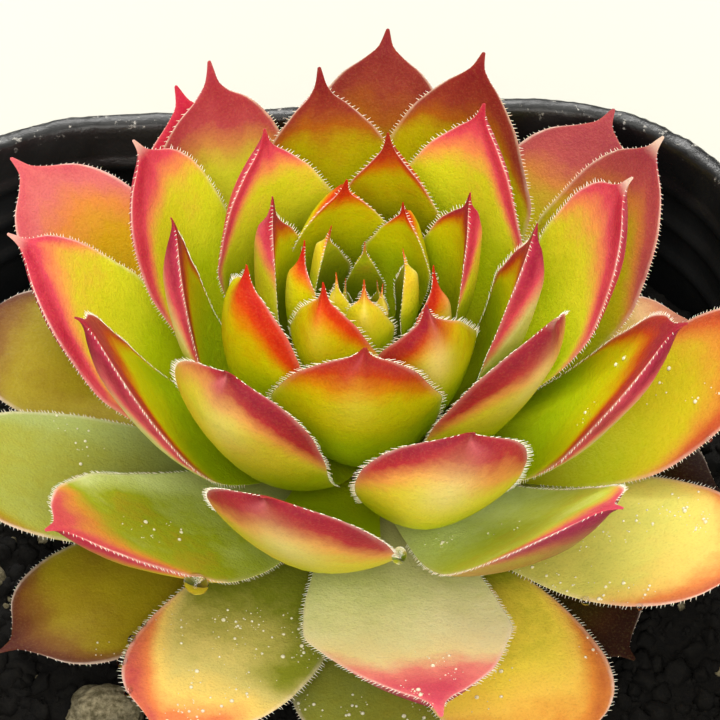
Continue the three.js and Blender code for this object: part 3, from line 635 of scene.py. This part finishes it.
class Finish:
    """A material whose nodes are added one by one."""

    def __init__(self, name, **sockets):
        self.material = bpy.data.materials.new(name)
        self.material.use_nodes = True
        self.tree = self.material.node_tree
        self.surface = self.tree.nodes["Principled BSDF"]
        for socket, value in sockets.items():
            self.surface.inputs[socket.replace("_", " ")].default_value = value
        self.place = self.add("ShaderNodeTexCoord").outputs["Object"]

    def add(self, kind, links=None, **settings):
        return add_node(self.tree, kind, links, settings)

    def read(self, name, output="Fac"):
        return self.add("ShaderNodeAttribute", attribute_name=name).outputs[output]

    def grain(self, per_mm, detail=3.0, roughness=0.5):
        """Noise with so many features to a millimetre, about 0.5 in the middle."""
        return self.add("ShaderNodeTexNoise", {"Vector": self.place, "Scale": per_mm / MM,
                                               "Detail": detail, "Roughness": roughness}).outputs["Fac"]

    def span(self, value, low, high, to_low=0.0, to_high=1.0):
        return self.add("ShaderNodeMapRange", {"Value": value, "From Min": low, "From Max": high,
                                               "To Min": to_low, "To Max": to_high}).outputs[0]

    def math(self, operation, a, b=0.0):
        return self.add("ShaderNodeMath", {0: a, 1: b}, operation=operation).outputs[0]

    def mix(self, share, a, b, blend="MIX"):
        node = self.add("ShaderNodeMix", data_type="RGBA", blend_type=blend)
        for target, source in ((node.inputs[0], share), (node.inputs[6], a), (node.inputs[7], b)):
            join(self.tree, target, (*source, 1.0) if isinstance(source, tuple) else source)
        return node.outputs[2]

    def set(self, socket, source):
        self.tree.links.new(source, self.surface.inputs[socket])

    def bump(self, height, depth_mm, strength=1.0):
        self.set("Normal", self.add("ShaderNodeBump", {"Height": height, "Distance": depth_mm * MM,
                                                       "Strength": strength}).outputs[0])


def leaf_material():
    f = Finish("succulent leaf", Roughness=0.42, Subsurface_Weight=0.07, Subsurface_Scale=0.0018,
               Subsurface_Radius=(1.0, 0.55, 0.12), Specular_IOR_Level=0.09)
    broad, mottle, fine = f.grain(0.16, 2.0), f.grain(0.9, 4.0, 0.6), f.grain(4.2, 3.0, 0.6)
    uneven = f.math("ADD", f.span(broad, 0.3, 0.7, -0.26, 0.26), f.span(mottle, 0.3, 0.7, -0.14, 0.14))
    warped = f.math("ADD", f.read("stage"), uneven)
    colour = f.read("foot", "Color")
    for i, name in enumerate(STAGES[1:]):
        share = f.add("ShaderNodeClamp", {"Value": f.math("SUBTRACT", warped, float(i))}).outputs[0]
        colour = f.mix(share, colour, f.read(name, "Color"))
    colour = f.mix(f.read("pale"), colour, CREAM)
    # Painted pink sheen near the point.
    colour = f.mix(f.read("painted_sheen"), colour, PINK)
    colour = f.mix(f.math("MULTIPLY", f.span(fine, 0.45, 0.75), 0.05), colour, LIGHT_SPECK)
    colour = f.mix(f.math("MULTIPLY", f.span(fine, 0.48, 0.3), 0.16), colour, DARK_SPECK)
    rim = f.math("MULTIPLY", f.read("rim"), f.span(mottle, 0.3, 0.7, 0.3, 0.8))
    colour = f.mix(rim, colour, PEARL)
    colour = f.mix(f.read("dry"), colour, STRAW)
    # Painted shade: the colour is darkened towards SHADOW as far as the dusk attribute says.
    shade = f.mix(1.0, colour, SHADOW, blend="MULTIPLY")
    colour = f.mix(f.read("dusk"), colour, shade)
    f.set("Base Color", colour)
    f.set("Roughness", f.span(mottle, 0.3, 0.7, 0.36, 0.52))
    f.bump(f.math("ADD", fine, f.math("MULTIPLY", mottle, 1.5)), 0.10, 0.7)
    return f.material


def hair_material():
    f = Finish("margin hair", Roughness=0.4, Subsurface_Weight=0.2, Subsurface_Scale=0.0005)
    warm = f.grain(0.5, 2.0)
    f.set("Base Color", f.mix(f.span(warm, 0.35, 0.65), (0.97, 0.91, 0.74), (0.95, 0.80, 0.62)))
    return f.material


def plain_material(name, grain, first, second, **sockets):
    """A material that wavers between two near colours."""
    f = Finish(name, **sockets)
    f.set("Base Color", f.mix(f.grain(*grain), first, second))
    return f.material


def pot_material():
    f = Finish("soft black plastic", Roughness=0.34, Specular_IOR_Level=0.38)
    height = f.add("ShaderNodeSeparateXYZ", {"Vector": f.place}).outputs["Z"]
    dust_grain, scuff, skin = f.grain(1.1, 6.0, 0.7), f.grain(0.12, 4.0), f.grain(3.0, 3.0)
    at_rim = f.span(height, 78.6 * MM, 79.9 * MM)
    dust = f.math("MULTIPLY", f.span(dust_grain, 0.6, 0.68), at_rim)
    haze = f.math("MULTIPLY", f.span(scuff, 0.4, 0.75), 0.03)
    colour = f.mix(haze, (0.004, 0.0045, 0.005), (0.25, 0.26, 0.27))
    colour = f.mix(f.math("MULTIPLY", dust, 0.75), colour, (0.62, 0.60, 0.55))
    f.set("Base Color", colour)
    f.set("Roughness", f.math("ADD", f.span(scuff, 0.3, 0.7, 0.24, 0.40), f.math("MULTIPLY", dust, 0.4)))
    f.bump(f.math("ADD", skin, f.math("MULTIPLY", dust_grain, 2.0)), 0.06, 0.5)
    return f.material


def mix_material(name, dark, light):
    f = Finish(name, Roughness=0.85, Specular_IOR_Level=0.3)
    crumbs, fibre = f.grain(1.6, 6.0, 0.7), f.grain(0.35, 3.0)
    colour = f.mix(f.span(crumbs, 0.4, 0.7), dark, light)
    colour = f.mix(f.math("MULTIPLY", f.span(fibre, 0.5, 0.75), 0.5), colour, (0.006, 0.005, 0.004))
    f.set("Base Color", colour)
    f.bump(crumbs, 0.3, 0.8)
    return f.material


def stem_material():
    f = Finish("old stem", Roughness=0.7)
    bark = f.grain(0.8, 5.0)
    f.set("Base Color", f.mix(f.span(bark, 0.35, 0.65), (0.10, 0.085, 0.02), (0.24, 0.19, 0.06)))
    f.bump(bark, 0.2, 0.6)
    return f.material


LEAF, HAIR, PLASTIC = leaf_material(), hair_material(), pot_material()
WATER = plain_material("water", (0.2,), (0.97, 0.99, 1.0), (1.0, 1.0, 1.0),
                       Roughness=0.02, IOR=1.333, Transmission_Weight=1.0)
# Fine dew: water whose whitish gold colour and low transmission are a painted glint, so that the small
# beads show.
GLINTING_DEW = plain_material("fine dew", (0.2,), (1.0, 0.93, 0.62), (1.0, 0.97, 0.82), Roughness=0.06,
                          IOR=1.333, Transmission_Weight=0.3, Specular_IOR_Level=0.9)
FLOOR = plain_material("pale floor", (0.01, 2.0), (0.60, 0.595, 0.535), (0.61, 0.605, 0.545),
                       Roughness=0.9, Specular_IOR_Level=0.1)
EARTH = mix_material("potting mix", (0.002, 0.0017, 0.0013), (0.008, 0.0065, 0.004))
PUMICE_STONE = mix_material("pumice", (0.12, 0.10, 0.05), (0.46, 0.40, 0.25))
STEM = stem_material()
HAIRS, BEADS, CRUMBS = hair_tree(), bead_tree(), crumb_tree()

# ---- camera, first in the making -------------------------------------

# Millimetres from the rosette, degrees up and round, focal length and shift.
CAMERA = dict(distance=313.1, elevation=44.75, heading=3.5, focal=177.9, shift=(-0.0076, -0.1215))


def make_camera():
    lens = bpy.data.cameras.new("camera")
    lens.sensor_width, lens.lens = 36, CAMERA["focal"]
    lens.shift_x, lens.shift_y = CAMERA["shift"]
    lens.clip_start, lens.clip_end = 0.01, 10
    camera = show("camera", lens)
    up, turn = math.radians(CAMERA["elevation"]), math.radians(CAMERA["heading"])
    back = Vector((-math.sin(turn) * math.cos(up), -math.cos(turn) * math.cos(up), math.sin(up)))
    camera.location = (Vector(ROSETTE) + back * CAMERA["distance"]) * MM
    camera.rotation_euler = back.to_track_quat("Z", "Y").to_euler()
    bpy.context.scene.camera = camera


make_camera()

# ---- pot -------------------------------------------------------------


def skin(rings):
    """Points and faces over a stack of rings, with both ends closed by a fan."""
    points = np.concatenate([*rings, [rings[0].mean(0)], [rings[-1].mean(0)]])
    sides, first, last = tube_faces(len(rings), len(rings[0]))
    return points, sides + [face for pair in zip(first, last) for face in pair]


RIM_ROUGH_FROM, RIM_FRAYED_FROM = 76.5, 78.4


def make_pot():
    top, inner = POT["height"], POT["wall"]
    band, lip_in, out = top - POT["band_height"], POT["lip"] - POT["band_out"], POT["band_out"]
    # Height and inset of each ring, up the outside, over the lip and down the inside.
    profile = [(0, 1.6), (0.05, 1.1), (0.5, 0.3), (1.4, 0), (band * 0.33, 0), (band * 0.66, 0),
               (band - 1, 0), (band - 0.6, -0.1), (band - 0.2, -out * 0.6), (band, -out * 0.8),
               (band + 3, -out * 0.8), (top - 1.8, -out * 0.8), (top - 1.4, -out * 0.86),
               (top - 1.1, -out), (top - 0.6, -out), (top - 0.25, -out * 0.85),
               (top - 0.05, -out * 0.55), (top, -out * 0.2), (top, lip_in * 0.3),
               (top - 0.12, lip_in * 0.7), (top - 0.4, lip_in * 0.95), (top - 0.9, lip_in + 0.05),
               (top - 1.6, inner)]
    for z in POT["ribs"]:
        profile += [(z + up, inner + POT["rib_out"] * share) for up, share in (
            (1.2, 0), (0.8, 0.3), (0.4, 0.8), (0, 1), (-0.4, 0.8), (-0.8, 0.3), (-1.2, 0))]
    profile += [(62, inner), (top * 0.4, inner), (POT["floor"] + 1, inner + 0.2),
                (POT["floor"] + 0.3, inner + 0.5), (POT["floor"], inner + 1.2)]
    rings = []
    for z, inset in profile:
        ring = pot_ring(z, inset, fine=4)
        if z > RIM_ROUGH_FROM:
            for point in ring:
                way = Vector(point) * 0.35
                ragged = 0.16 * noise.noise(way) + 0.09 * noise.noise(way * 3.1)
                point[2] += ragged + (0.14 * noise.noise(way * 8) if z > RIM_FRAYED_FROM else 0)
                point[:2] *= 1 + 0.0022 * noise.noise(way * 1.3 + Vector((9, 2, 4)))
        rings.append(ring)
    points, faces = skin(rings)
    pot = show("pot_shell", new_mesh("pot_shell", points, faces, finish=PLASTIC))
    circle, radius = POT["drain_circle"], POT["drain_radius"]
    turns = np.linspace(0, 2 * math.pi, 32, endpoint=False)
    for i in range(POT["drain_holes"]):
        angle = (i + 0.5) * 2 * math.pi / POT["drain_holes"]
        x, y = circle * math.cos(angle), circle * math.sin(angle)
        ends = [np.stack([x + radius * np.cos(turns), y + radius * np.sin(turns), np.full(32, z)], -1)
                for z in (-4, 4)]
        drill = show("drill", new_mesh("drill", *skin(ends)))
        cut = pot.modifiers.new("drain", "BOOLEAN")
        cut.operation, cut.solver, cut.object = "DIFFERENCE", "EXACT", drill
        settle(pot)
        bpy.data.objects.remove(drill)
    edges = pot.modifiers.new("edges", "EDGE_SPLIT")
    edges.split_angle = math.radians(48)
    settle(pot)
    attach(pot, "root")
    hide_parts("pot")


# ---- potting mix and pumice ------------------------------------------


def make_mix():
    inset = POT["wall"] + MIX_GAP
    rim = pot_ring(MIX_TOP, inset)
    rings = [pot_ring(POT["floor"] + 0.5, POT["wall"] + 1.6), pot_ring(30, inset),
             pot_ring(MIX_TOP - 3, inset)]
    sides = len(rings)
    for share in np.linspace(1, 0.03, 40):
        ring = rim * [share, share, 1]
        for point in ring:
            way = Vector(point) * 0.22
            lumps = 1.0 * noise.noise(way) + 0.7 * noise.noise(way * 3.3) + 0.4 * noise.noise(way * 9)
            point[2] = MIX_TOP + lumps
        rings.append(ring)
    bed = show("mix_bed", new_mesh("mix_bed", *skin(rings), finish=EARTH))
    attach(bed, "root")
    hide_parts("soil")
    # Crumbs to the square metre, their smallest and largest radius in mm, and the seed.
    for name, finish, crumbs, smallest, largest, seed in (
            ("mix_crumbs", EARTH, 560000, 0.22, 1.5, 3),
            ("pale_grit", PUMICE_STONE, 32000, 0.2, 0.9, 11)):
        points, faces = skin([ring * [0.985, 0.985, 1] for ring in rings[sides:]])
        layer = show(name, new_mesh(name, points, faces))
        grow(layer, CRUMBS, Crumbs=float(crumbs), Smallest=smallest * MM, Largest=largest * MM, Seed=seed,
             Finish=finish)
        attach(layer, "root")


def make_pumice():
    for i, (x, y, size, turn) in enumerate(PUMICE):
        mesh = bpy.data.meshes.new(f"pumice_stone_{i + 1}")
        shape = bmesh.new()
        bmesh.ops.create_icosphere(shape, subdivisions=5, radius=1)
        for vert in shape.verts:
            way = vert.co * 1.1 + Vector((i * 7, 3, 1))
            pits = abs(noise.noise(vert.co * 5 + Vector((i, 0, 0)))) * 0.10
            pits += abs(noise.noise(vert.co * 12)) * 0.05
            vert.co *= 1 + 0.22 * noise.noise(way) + 0.10 * noise.noise(way * 2.3) - pits
            vert.co = Matrix.Rotation(turn, 3, "Z") @ Vector([vert.co[k] * size[k] for k in range(3)])
            vert.co += Vector((x, y, MIX_TOP + size[2] * 0.45))
            vert.co *= MM
        shape.to_mesh(mesh)
        shape.free()
        mesh.materials.append(PUMICE_STONE)
        mesh.polygons.foreach_set("use_smooth", [True] * len(mesh.polygons))
        stone = show(mesh.name, mesh)
        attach(stone, "root")
        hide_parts(f"pumice_{i + 1}")


# ---- leaves ----------------------------------------------------------

HAIR_LENGTH = smooth_curve([0, 8, 15, 28, 36, 57], [0.26, 0.44, 0.58, 0.58, 0.44, 0.4])
HAIR_SPACING, BUD_HAIR_SPACING, HAIR_GIRTH = 0.4, 0.32, 0.042
# Leaves near the mix, and how much shorter their hairs are.
DULL, DULL_HAIRS = (45, *range(50, 58)), 0.6


def unit(vectors):
    return vectors / (np.linalg.norm(vectors, axis=1, keepdims=True) + 1e-9)


def margin_seeds(n, chance):
    """Where the hairs of leaf n stand on each margin, which way they point and how long they are."""
    plan = leaf_plan(n)
    seeds = []
    # Longer in front than at the back.
    hair_length = float(HAIR_LENGTH(n)) * (0.82 - 0.18 * math.sin(plan["azimuth"]))
    hair_length *= DULL_HAIRS if n in DULL else 1.0
    count = int(plan["length"] * 0.8 / (HAIR_SPACING if n >= BUD_LEAVES else BUD_HAIR_SPACING))
    for side in (-1.0, 1.0):
        # Evenly spaced but for a little, and one in twenty is missing.
        t = np.linspace(0.22, 0.955, count) + chance.uniform(-0.25, 0.25, count) * 0.73 / count
        t = t[chance.random(count) > 0.05]
        u = np.full(len(t), side)
        edge = on_leaf(plan, t, u, np.zeros(len(t)), lift=-0.03)
        inside = on_leaf(plan, t, u * 0.8, np.ones(len(t)))
        ahead = on_leaf(plan, t + 0.01, u, np.zeros(len(t)), lift=-0.03)
        lean = chance.uniform(0.05, 0.45, (len(t), 1))
        heading = unit(edge - inside) + unit(ahead - edge) * lean + chance.normal(0, 0.08, (len(t), 3))
        size = hair_length * chance.uniform(0.7, 1.1, len(t)) * (1 - 0.45 * step(0.86, 0.97, t))
        seeds.append((edge, unit(heading), size))
    return seeds


def make_leaves():
    for n in range(BUD_LEAVES, LEAVES):
        number = n - BUD_LEAVES + 1
        name = f"blade_{number:02d}"
        leaf = show(name, new_mesh(name, *leaf_body(n), finish=LEAF))
        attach(leaf, "root")
        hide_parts(f"leaf_{number:02d}")
    parts = [leaf_body(n, stations=44, spans=7) for n in range(BUD_LEAVES)]
    points = np.concatenate([part[0] for part in parts])
    faces, start = [], 0
    for part_points, part_faces, _ in parts:
        faces += [[i + start for i in face] for face in part_faces]
        start += len(part_points)
    finish = {key: np.concatenate([part[2][key] for part in parts]) for key in parts[0][2]}
    heart = show("heart", new_mesh("heart", points, faces, finish, finish=LEAF))
    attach(heart, "root")
    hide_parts("bud")


def make_hairs():
    chance = np.random.default_rng(20)
    for name, ages, slot in (("young_hairs", range(0, 20), "leaf_young"),
                             ("middle_hairs", range(20, 38), "leaf_middle"),
                             ("old_hairs", range(38, LEAVES), "leaf_old")):
        hairs = seeded(name, [seed for n in ages for seed in margin_seeds(n, chance)])
        grow(hairs, HAIRS, Girth=HAIR_GIRTH * MM, Sides=5, Finish=HAIR)
        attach(hairs, "root")


BEAD_HEIGHT = 0.8
# Leaves that carry fine dew: how many beads and the stretch of the leaf that they lie on.
DEW = {46: (150, 0.4, 0.9), 44: (150, 0.35, 0.8), 43: (40, 0.3, 0.8), 41: (36, 0.4, 0.9),
       49: (36, 0.3, 0.8), 54: (120, 0.4, 0.95), 36: (22, 0.3, 0.8), 38: (20, 0.4, 0.8),
       31: (12, 0.4, 0.8), 39: (40, 0.4, 0.9), 47: (30, 0.4, 0.9), 51: (16, 0.3, 0.8),
       28: (6, 0.5, 0.9)}
# Large drops: leaf, share along, across, face and radius in mm.
DROPS = [(38, 0.62, 0.99, -1, 1.15), (33, 0.6, 1.0, 0, 0.8), (46, 0.8, -0.97, 0, 0.55),
         (46, 0.72, -0.98, 0, 0.45), (46, 0.88, -0.9, 0, 0.5), (46, 0.66, -0.98, 0, 0.3),
         (44, 0.6, -0.98, 0, 0.45), (44, 0.75, -0.98, 0, 0.35), (39, 0.82, -0.97, 0, 0.4),
         (39, 0.7, -0.98, 0, 0.3), (46, 0.5, 0.95, 0, 0.6), (40, 0.5, 0.3, 1, 0.25)]


def make_beads(name, seeds, finish):
    water = seeded(name, seeds)
    grow(water, BEADS, Height=BEAD_HEIGHT, Finish=finish)
    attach(water, "root")


def bead_seeds(n, t, u, face, size, off):
    """Beads on leaf n; off is the share of its radius that a bead's middle stands off the leaf."""
    plan = leaf_plan(n)
    spot = on_leaf(plan, t, u, face)
    heading = unit(on_leaf(plan, t, u, face, lift=0.2) - spot)
    return spot + heading * size[:, None] * off, heading, size


def make_water():
    chance = np.random.default_rng(8)
    dew = []
    for n, (count, low, high) in DEW.items():
        # In patches of about nine.
        patch = chance.integers(0, max(2, count // 9), count)
        t = chance.uniform(low, high, count)[patch] + chance.normal(0.0, 0.03, count)
        u = np.clip(chance.uniform(-0.9, 0.9, count)[patch] + chance.normal(0.0, 0.1, count), -0.95, 0.95)
        size = 0.05 + 0.17 * chance.random(count) ** 4
        dew.append(bead_seeds(n, t, u, np.where(chance.random(count) < 0.9, 1.0, -1.0), size, 0.25))
    make_beads("fine_dew", dew, GLINTING_DEW)
    drops = [bead_seeds(n, *(np.array([float(value)]) for value in drop), 0.45) for n, *drop in DROPS]
    make_beads("water_drops", drops, WATER)


def make_stem():
    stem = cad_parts["stem"]
    stem.data.materials.clear()
    stem.data.materials.append(STEM)


# ---- floor and light -------------------------------------------------

WARM, PLANT = (1.0, 0.975, 0.91), (0.0, 0.0, 0.085)
# Each light: name, place and aim in metres, size, power and colour.
LIGHTS = (("key", (-0.05, 0.12, 0.80), PLANT, 0.60, 2.4, WARM),
          ("fill", (-0.06, -0.52, 0.60), PLANT, 0.40, 3.5, WARM),
          ("low", (-0.10, -0.60, 0.24), (0.0, -0.02, 0.075), 0.35, 1.2, WARM),
          ("side", (0.60, 0.10, 0.40), PLANT, 0.50, 1.2, (1.0, 0.98, 0.93)),
          ("back", (0.0, 0.50, 0.45), (0.0, 0.30, 0.0), 0.30, 3.0, (1.0, 0.99, 0.96)))
SKY, SKY_STRENGTH = (1.0, 0.98, 0.92, 1.0), 0.42


def make_studio():
    floor = bpy.data.meshes.new("floor")
    floor.from_pydata([(-3, -3, 0), (3, -3, 0), (3, 3, 0), (-3, 3, 0)], [], [(0, 1, 2, 3)])
    floor.materials.append(FLOOR)
    show("floor", floor)
    for name, place, target, size, power, colour in LIGHTS:
        light = bpy.data.lights.new(name, "AREA")
        light.shape, light.size, light.energy, light.color = "DISK", size, power, colour
        lamp = show(name, light)
        lamp.location = place
        aim = Vector(target) - Vector(place)
        lamp.rotation_euler = aim.to_track_quat("-Z", "Y").to_euler()
    world = bpy.data.worlds.new("studio")
    world.use_nodes = True
    sky = world.node_tree.nodes["Background"]
    sky.inputs["Color"].default_value = SKY
    sky.inputs["Strength"].default_value = SKY_STRENGTH
    bpy.context.scene.world = world
    view = bpy.context.scene.view_settings
    view.view_transform, view.look = "Standard", "None"


make_pot()
make_mix()
make_pumice()
make_stem()
make_leaves()
make_hairs()
make_water()
make_studio()
